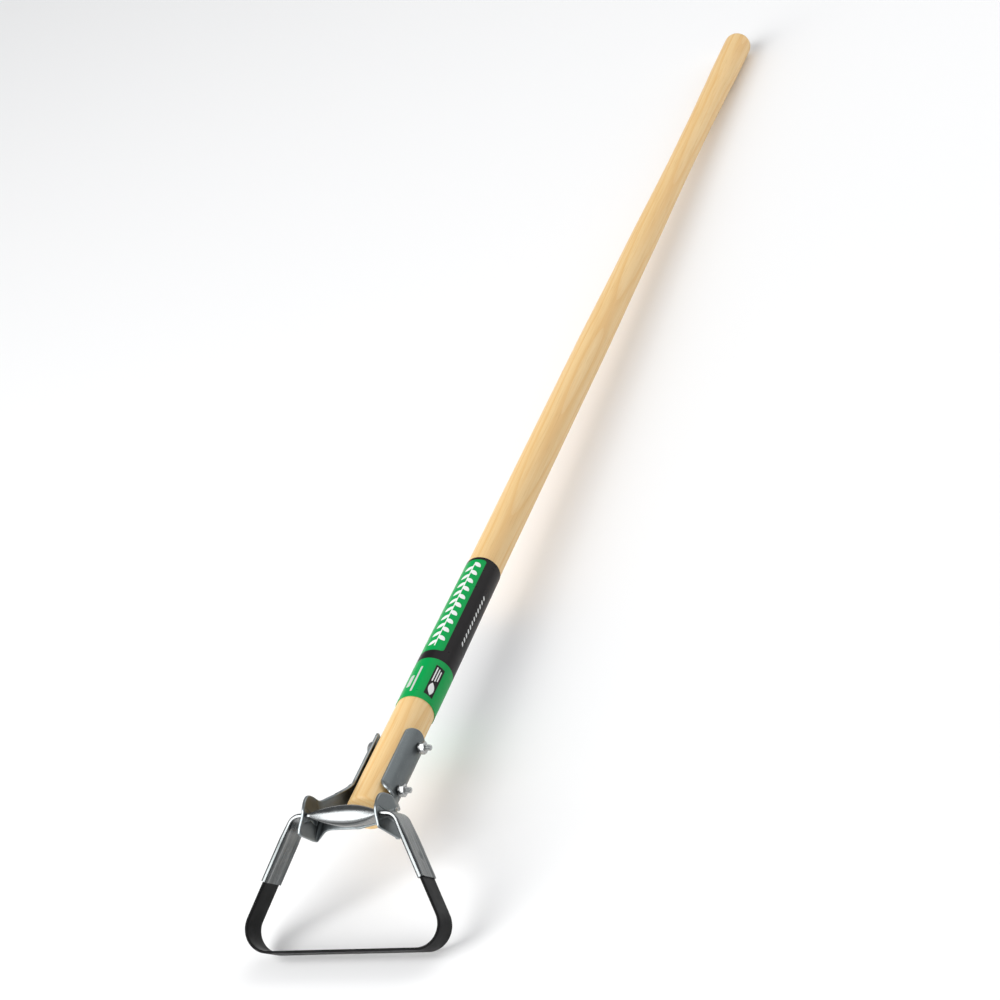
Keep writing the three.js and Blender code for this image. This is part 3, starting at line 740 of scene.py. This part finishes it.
def flat_pattern(side, square_holes):
    """Points of the flat sheet, its triangles, and each point's distance from the nearest rim."""
    outlines = [bracket_outline(side), slot_outline()]
    outlines += [bolt_hole_outline(place, square_holes) for place in BOLT_PLACES.values()]
    outlines = [spaced(outline, OUTLINE_STEP) for outline in outlines]
    points, edges = [], []
    for outline in outlines:
        first = len(points)
        points += outline
        edges += [(first + i, first + (i + 1) % len(outline)) for i in range(len(outline))]
    rim = KDTree(len(points))
    for i, point in enumerate(points):
        if bent(side, point).x > SEAM + 0.1:    # the seam, where the two brackets meet, isn't a rim
            rim.insert(point.to_3d(), i)
    rim.balance()

    def from_rim(point):
        return rim.find(point.to_3d())[2]

    for number, outline in enumerate(outlines):
        for distance, _ in RIM_ROWS:
            row = inset(outline, distance, number == 0)
            points += [point for point in row if from_rim(point) > 0.95 * distance]
    points += [point for point in grid_points() if from_rim(point) > RIM_MARGIN]
    verts, _, triangles, *_ = delaunay_2d_cdt(points, edges, [], 2, 1e-5)
    return verts, triangles, [from_rim(vert) for vert in verts]


def half_thickness(to_rim):
    """Half the sheet's thickness, thinner towards its rounded rims."""
    near, half = 0, RIM_HALF
    for distance, row_half in RIM_ROWS:
        if to_rim < distance:
            return lerp(half, row_half, (to_rim - near) / (distance - near))
        near, half = distance, row_half
    return half


def sheet_normal(side, point):
    """The bent sheet's normal, from two short steps along it."""
    step = 0.02
    here = bent(side, point)
    along = bent(side, point + Vector((step, 0))) - here
    up = bent(side, point + Vector((0, step))) - here
    return along.cross(up).normalized()


def make_bracket(name, material):
    """Both faces of the pressed sheet, joined by a strip round each rim."""
    side = BRACKETS[name]
    points, triangles, to_rim = flat_pattern(side, name == "left")
    hand = Vector((-1 if name == "left" else 1, 1, 1))
    bm = bmesh.new()
    rim_layer = bm.verts.layers.float.new("to_rim")
    layers = {}
    for facing in (-1, 1):
        verts = []
        for point, distance in zip(points, to_rim):
            offset = sheet_normal(side, point) * half_thickness(distance) * facing
            verts.append(bm.verts.new((bent(side, point) + offset) * hand))
            verts[-1][rim_layer] = distance
        layers[facing] = verts
    uses = Counter()
    for triangle in triangles:
        for verts in layers.values():
            bm.faces.new([verts[i] for i in triangle])
        uses.update(frozenset(pair) for pair in zip(triangle, triangle[1:] + triangle[:1]))
    for a, b in (pair for pair, count in uses.items() if count == 1):
        bm.faces.new((layers[1][a], layers[1][b], layers[-1][b], layers[-1][a]))
    bmesh.ops.delete(bm, geom=[vert for vert in bm.verts if not vert.link_faces], context="VERTS")
    piece_from(bm, f"bracket_{name}", YOKE_FRAME, material, "handle_and_yoke", "zinc_sheet",
               f"{name}_bracket")


# ---- stirrup: x along the pivot axis, z up in its plane, y through it from front to back ----
CORNER_X = BLADE_SPAN / 2 - BLADE_CORNER
CORNER_Z = BLADE_CORNER - BLADE_DEPTH
CORNER_RADIUS = BLADE_CORNER - BLADE_THICK / 2
ARM_OUTWARD = Vector((math.cos(ARM_LEAN), math.sin(ARM_LEAN)))    # square to the right arm, as (x, z)
ARM_FOOT = Vector((CORNER_X, CORNER_Z)) + CORNER_RADIUS * ARM_OUTWARD


def arm_point(height):
    """The right arm's middle line, as (x, z)."""
    return Vector((ARM_FOOT.x - (height - ARM_FOOT.y) * math.tan(ARM_LEAN), height))


def both_halves(half):
    """The whole line, from its right half."""
    return [Vector((-point.x, point.y)) for point in reversed(half[1:])] + half


def blade_line():
    line = [Vector((lerp(0, CORNER_X, i / 24), CORNER_Z - CORNER_RADIUS)) for i in range(24)]
    for i in range(33):
        turn = lerp(-math.pi / 2, ARM_LEAN, i / 32)
        line.append(Vector((CORNER_X, CORNER_Z)) + CORNER_RADIUS * Vector((math.cos(turn), math.sin(turn))))
    line += [lerp(ARM_FOOT, arm_point(BLADE_TOP), i / 16) for i in range(1, 17)]
    return both_halves(line)


def hanger_line():
    line = [Vector((SPINDLE_HALF * i / 30, 0)) for i in range(30)]
    from_vertical = math.pi / 2 - ARM_LEAN
    bend_start = arm_point(0).x - BEND_RADIUS * math.tan(from_vertical / 2)
    line += [Vector((lerp(SPINDLE_HALF, bend_start, i / 4), 0)) for i in range(4)]
    for i in range(15):
        turn = from_vertical * i / 14
        line.append(Vector((bend_start + BEND_RADIUS * math.sin(turn), BEND_RADIUS * (math.cos(turn) - 1))))
    bend_end = line[-1].y
    line += [arm_point(lerp(bend_end, SLEEVE_MOUTH, i / 40)) for i in range(1, 41)]
    return both_halves(line)


def tangents(line):
    result = []
    for i in range(len(line)):
        before, after = line[max(i - 1, 0)], line[min(i + 1, len(line) - 1)]
        result.append((after - before).normalized())
    return result


def section_ring(centre, tangent, section):
    """The section stood across the line. Its points are (out of the loop, across it)."""
    outward = Vector((tangent.y, 0, -tangent.x))
    middle = Vector((centre.x, 0, centre.y))
    return [middle + outward * out + Vector((0, across, 0)) for out, across in section]


def strip_section():
    """The blade's section: a flat bar with its long edges eased."""
    half_out, half_across, ease = BLADE_THICK / 2, BLADE_WIDTH / 2, 0.45
    section = []
    for out_sign, across_sign in ((1, -1), (1, 1), (-1, 1), (-1, -1)):
        corner = Vector((out_sign * (half_out - ease), across_sign * (half_across - ease)))
        start = math.atan2(across_sign, out_sign) - math.pi / 4
        turns = [start + math.pi / 2 * i / 4 for i in range(5)]
        section += [corner + ease * Vector((math.cos(turn), math.sin(turn))) for turn in turns]
    return section


def with_middles(section, parts):
    """Adds points along the long flat sides."""
    points = []
    for start, end in zip(section, section[1:] + section[:1]):
        count = parts if (end - start).length > BLADE_WIDTH / 2 else 1
        points += [lerp(start, end, i / count) for i in range(count)]
    return points


def make_blade(material):
    line = blade_line()
    section = with_middles(strip_section(), 10)
    bm = bmesh.new()
    skin(bm, [section_ring(centre, tangent, section) for centre, tangent in zip(line, tangents(line))])
    piece_from(bm, "blade_loop", STIRRUP_FRAME, material, "stirrup", "black_paint", "blade")


TUBE_GIRTH = 2 * (NECK_WIDTH - NECK_THICK) + math.pi * NECK_THICK
RIM_FULLNESS = 2.6                        # 2 would be a round rim; the tube's is a little blunter
ARM_HOLLOW = 0.55                         # how far the arms' flat faces are pressed in between their rims


def flat_half_thickness(across, middle, rim, rim_radius):
    """Half the thickness of a flattened tube at across (0 middle, 1 rim): its folded rims stand proud."""
    rim_start = 1 - rim_radius
    if across > rim_start:
        drop = (across - rim_start) / rim_radius
        return rim * max(0, 1 - drop ** RIM_FULLNESS) ** (1 / RIM_FULLNESS)
    return lerp(middle, rim, smooth(across, rim_start - 0.30, rim_start - 0.02))


def hanger_section(here, count):
    """The tube's section: flattened to round rims, and fuller where the spindle swells."""
    down = smooth(-here.y, 0, 20)
    swell = max(0, 1 - (here.x / SPINDLE_HALF) ** 2) if here.y > -0.01 else 0
    pressed = smooth(-here.y, 3, 16)
    thick = lerp(lerp(NECK_THICK, SLEEVE_THICK, down), SPINDLE_HEIGHT, swell)
    same_girth = thick + (TUBE_GIRTH - math.pi * thick) / 2
    half_width = lerp(same_girth, SLEEVE_WIDTH, down) / 2
    rim = thick / 2
    middle = rim - ARM_HOLLOW * pressed
    section = []
    for i in range(count):
        turn = 2 * math.pi * i / count
        out, across = math.cos(turn), math.sin(turn)
        height = flat_half_thickness(abs(across), middle, rim, rim / half_width)
        section.append(Vector((math.copysign(height, out), across * half_width)))
    return section


def inner_section(count):
    """The section of the sleeve's bore."""
    half_out, half_across = SLEEVE_THICK / 2 - SLEEVE_WALL, SLEEVE_WIDTH / 2 - SLEEVE_WALL
    section = []
    for i in range(count):
        turn = 2 * math.pi * i / count
        out, across = math.cos(turn), math.sin(turn)
        thick = flat_half_thickness(abs(across), half_out, half_out, 0.08)
        section.append(Vector((math.copysign(thick, out), across * half_across)))
    return section


DIMPLE_RADIUS, DIMPLE_DEPTH = 3.4, 0.7
DIMPLE = arm_point(-33) + SLEEVE_THICK / 2 * ARM_OUTWARD    # the punch mark's middle, as (x, z)
BORE_DEPTH = 16


def dimpled(ring, centre, outward):
    """Presses a shallow punch mark into the sleeve's outer face."""
    spot = Vector((DIMPLE.x * outward, 0, DIMPLE.y))
    inward = Vector((-outward * math.cos(ARM_LEAN), 0, -math.sin(ARM_LEAN)))
    points = []
    for point in ring:
        off = point - spot
        outside = (point - Vector((centre.x, 0, centre.y))).dot(inward) < 0
        depth = DIMPLE_DEPTH * math.exp(-(off.length / DIMPLE_RADIUS) ** 4) if outside else 0
        points.append(point + inward * depth)
    return points


def make_hanger(material):
    """One skin from the floor of one sleeve's bore, over the outside of the tube, to the other's."""
    count = 88
    line = hanger_line()
    directions = tangents(line)
    bore = inner_section(count)
    first, last = directions[0], directions[-1]
    rings = [section_ring(line[0] + first * BORE_DEPTH, first, bore), section_ring(line[0], first, bore)]
    for centre, tangent in zip(line, directions):
        ring = section_ring(centre, tangent, hanger_section(centre, count))
        rings.append(dimpled(ring, centre, math.copysign(1, centre.x)))
    rings += [section_ring(line[-1], last, bore), section_ring(line[-1] - last * BORE_DEPTH, last, bore)]
    bm = bmesh.new()
    skin(bm, rings)
    piece_from(bm, "hanger_tube", STIRRUP_FRAME, material, "stirrup", "bright_tube", "hanger")


# ---- bolts, washers and nuts: x along the bolt ----
def bolt_frame(place):
    return YOKE_FRAME @ Matrix.Translation(Vector((0, BOLT_PLACES[place], -HANDLE_DROP)) * MM)


def ring_about_x(x, radius_at, count):
    turns = (2 * math.pi * i / count for i in range(count))
    return [Vector((x, radius_at(turn) * math.cos(turn), radius_at(turn) * math.sin(turn))) for turn in turns]


def thread_radius(x, turn):
    phase = (x / THREAD_PITCH - turn / (2 * math.pi)) % 1
    crest = min(abs(phase - 0.5) * 2.4, 1)
    return min(BOLT_RADIUS - THREAD_DEPTH * (1 - crest), BOLT_RADIUS - POINT_LENGTH + (BOLT_END - x))


def square_radius(turn):
    """The square neck under the head, with its corners trimmed."""
    return min(BOLT_RADIUS / max(abs(math.cos(turn)), abs(math.sin(turn))), BOLT_RADIUS * 1.3)


def make_bolt(place, material):
    """A round head over a square neck, then the shank and its thread."""
    count = 48
    seat = -(BRACKETS["left"]["strap"] + SHEET + GAP)
    rings = []
    for i in range(1, 13):
        turn = math.pi / 2 * i / 12
        x = seat - BOLT_HEAD_BRIM - (BOLT_HEAD_HEIGHT - BOLT_HEAD_BRIM) * math.cos(turn)
        rings.append(ring_about_x(x, lambda _: BOLT_HEAD_RADIUS * math.sin(turn), count))
    rings.append(ring_about_x(seat, lambda _: BOLT_HEAD_RADIUS - 0.1, count))
    rings.append(ring_about_x(seat, square_radius, count))
    rings.append(ring_about_x(seat + SHEET, square_radius, count))
    rings.append(ring_about_x(seat + SHEET, lambda _: BOLT_RADIUS, count))
    steps = 8 * math.ceil((BOLT_END - THREAD_FROM) / THREAD_PITCH)
    for i in range(steps + 1):
        x = lerp(THREAD_FROM, BOLT_END, i / steps)
        rings.append(ring_about_x(x, lambda turn: thread_radius(x, turn), count))
    bm = bmesh.new()
    skin(bm, rings)
    piece_from(bm, f"bolt_{place}", bolt_frame(place), material, "handle_and_yoke", "fastener_zinc",
               f"{place}_bolt")


def make_washer(place, material):
    """A split spring washer: a square-section ring whose ends stand a little apart."""
    seat = BRACKETS["right"]["strap"] + SHEET + GAP
    inner, eased = BOLT_RADIUS + 0.15, LOCK_RADIUS - LOCK_EASE
    split, steps = math.radians(100), 56
    rings = []
    for i in range(steps + 1):
        turn = split + math.radians(lerp(6, 354, i / steps))
        low = seat + lerp(0, LOCK_SPREAD, i / steps)
        high = low + LOCK_THICK - LOCK_SPREAD
        section = ((low, inner), (low, eased), (low + LOCK_EASE, LOCK_RADIUS),
                   (high - LOCK_EASE, LOCK_RADIUS), (high, eased), (high, inner))
        rings.append([Vector((x, radius * math.cos(turn), radius * math.sin(turn))) for x, radius in section])
    bm = bmesh.new()
    skin(bm, rings)
    piece_from(bm, f"washer_{place}", bolt_frame(place), material, "handle_and_yoke", "fastener_zinc",
               f"{place}_lock_washer")


def make_nut(place, material):
    """A hexagon nut, chamfered on both faces and open round the thread."""
    start = BRACKETS["right"]["strap"] + SHEET + LOCK_THICK + 2 * GAP
    end = start + NUT_HEIGHT
    count, turned = 72, math.radians(12)

    def hexagon(turn):
        side = (turn + turned) % (math.pi / 3) - math.pi / 6
        return NUT_ACROSS_FLATS / 2 / math.cos(side)

    def outside(depth):
        chamfer = NUT_ACROSS_FLATS / 2 - 0.1 + depth / math.tan(NUT_CHAMFER)
        return lambda turn: min(hexagon(turn), chamfer)

    bore = BOLT_RADIUS + 0.05
    depths = (0, 0.06, 0.12, 0.2, 0.3, 0.42)
    rings = [ring_about_x(start, lambda _: bore + NUT_LEAD_IN, count)]
    rings += [ring_about_x(start + depth, outside(depth), count) for depth in depths]
    rings += [ring_about_x(end - depth, outside(depth), count) for depth in reversed(depths)]
    rings.append(ring_about_x(end, lambda _: bore + NUT_LEAD_IN, count))
    rings.append(ring_about_x(end - NUT_LEAD_IN, lambda _: bore, count))
    rings.append(ring_about_x(start + NUT_LEAD_IN, lambda _: bore, count))
    bm = bmesh.new()
    skin(bm, rings, capped=False, looped=True)
    piece_from(bm, f"nut_{place}", bolt_frame(place), material, "handle_and_yoke", "fastener_zinc",
               f"{place}_nut")


# ---- stage and light, in metres and watts ----
FLOOR_HALF = 30
LIGHT_AIM = Vector((0, -0.3, 0.05))
LIGHTS = {                                # place, size, power
    "front_panel": ((-2.0, -3.9, 2.45), (3.6, 5.0), 375),
    "back_panel": ((0.6, 1.0, 2.05), (2.4, 1.6), 16),
    "side_panel": ((2.1, 2.45, 1.4), (3.2, 2.4), 32),
}


def make_floor():
    bm = bmesh.new()
    corners = ((-1, -1), (1, -1), (1, 1), (-1, 1))
    bm.faces.new([bm.verts.new((x * FLOOR_HALF, y * FLOOR_HALF, 0)) for x, y in corners])
    mesh = bpy.data.meshes.new("floor")
    bm.to_mesh(mesh)
    bm.free()
    finish = Finish("pale_floor", Roughness=0.9, Base_Color=(0.92, 0.92, 0.92))
    mesh.materials.append(finish.material)
    floor = bpy.data.objects.new("floor", mesh)
    bpy.context.scene.collection.objects.link(floor)


def make_light(name, place, size, watts):
    """A soft panel that shines on the hoe. The camera doesn't see the panel itself."""
    data = bpy.data.lights.new(name, "AREA")
    data.shape = "RECTANGLE"
    data.size, data.size_y = size
    data.energy = watts
    lamp = bpy.data.objects.new(name, data)
    bpy.context.scene.collection.objects.link(lamp)
    facing = (LIGHT_AIM - Vector(place)).to_track_quat("-Z", "Y").to_matrix().to_4x4()
    lamp.matrix_world = Matrix.Translation(place) @ facing
    lamp.visible_camera = False


def make_world():
    world = bpy.data.worlds.new("studio")
    world.use_nodes = True
    background = world.node_tree.nodes["Background"]
    background.inputs["Color"].default_value = (0.95, 0.97, 1.0, 1)
    background.inputs["Strength"].default_value = 0.25
    bpy.context.scene.world = world
    bpy.context.scene.view_settings.view_transform = "Standard"


# ---- the hoe ----
fastener = fastener_finish()
sheet_metal = zinc_finish()
make_handle(wood_finish())
make_label(label_finish())
make_bracket("left", sheet_metal)
make_bracket("right", sheet_metal)
make_hanger(tube_finish())
make_blade(paint_finish())
for bolt_place in BOLT_PLACES:
    make_bolt(bolt_place, fastener)
    make_washer(bolt_place, fastener)
    make_nut(bolt_place, fastener)

make_floor()
make_world()
for light_name, settings in LIGHTS.items():
    make_light(light_name, *settings)

bpy.context.view_layer.update()
